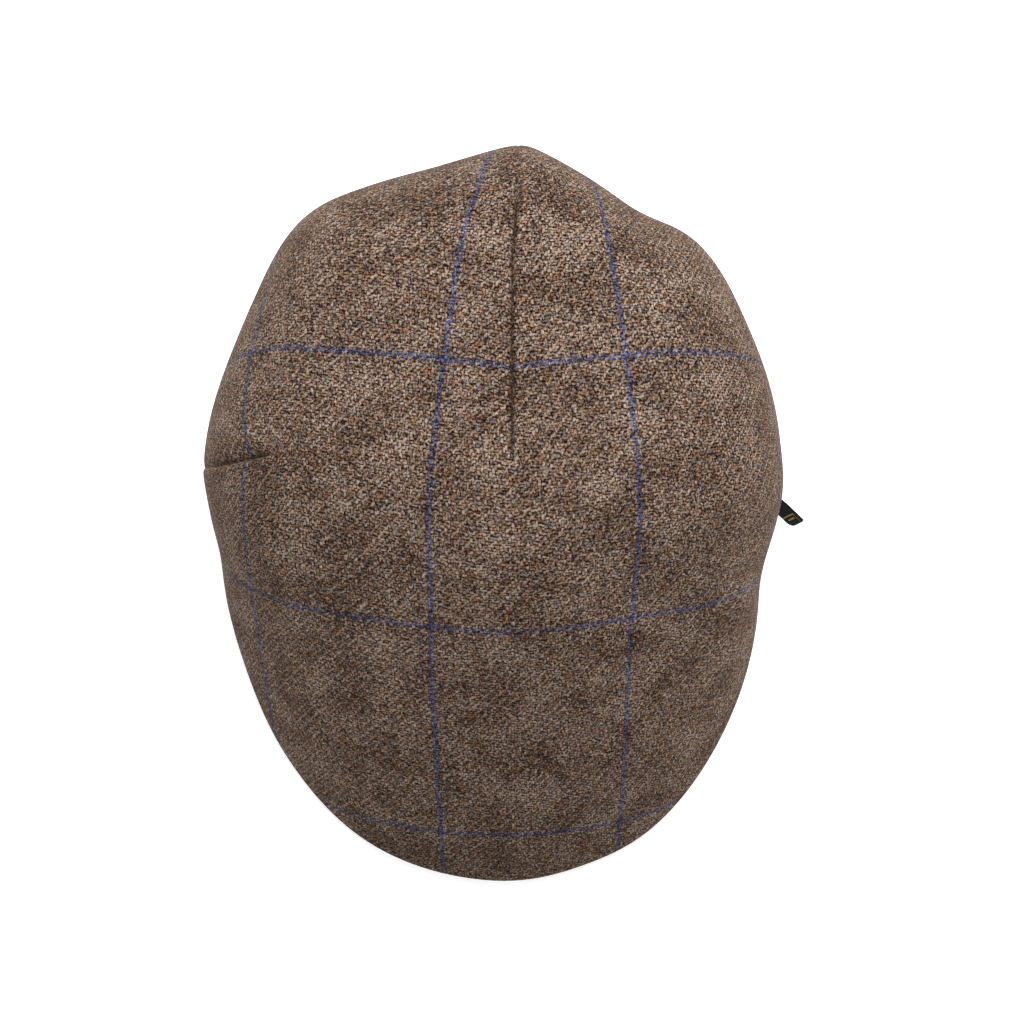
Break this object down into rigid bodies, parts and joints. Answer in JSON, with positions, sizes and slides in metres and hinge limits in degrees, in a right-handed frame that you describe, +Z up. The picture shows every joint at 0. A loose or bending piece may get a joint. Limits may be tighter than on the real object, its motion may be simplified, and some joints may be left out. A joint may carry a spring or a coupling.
{
  "type": "flat cap",
  "caption": "Flat cap of windowpane tweed: a soft one-piece crown with darts, drawn over a stiff rounded peak, with a small folded side label.",
  "frame": {"origin": "centre of the cap's footprint box, on the surface it rests on", "axes": "+Z up, -Y the way the peak points, +X the wearer's left"},
  "size_m": [0.2286, 0.2783, 0.1],
  "materials": {
    "tweed": "brown and taupe twill-woven wool tweed with a thin blue windowpane check",
    "peak_tweed": "the same wool tweed drawn tight over a stiff board",
    "label_tape": "black woven tape with plain gold threads"
  },
  "bodies": {
    "root": {"crown": "tweed", "peak": "peak_tweed", "side_label": "label_tape"}
  },
  "joints": []
}
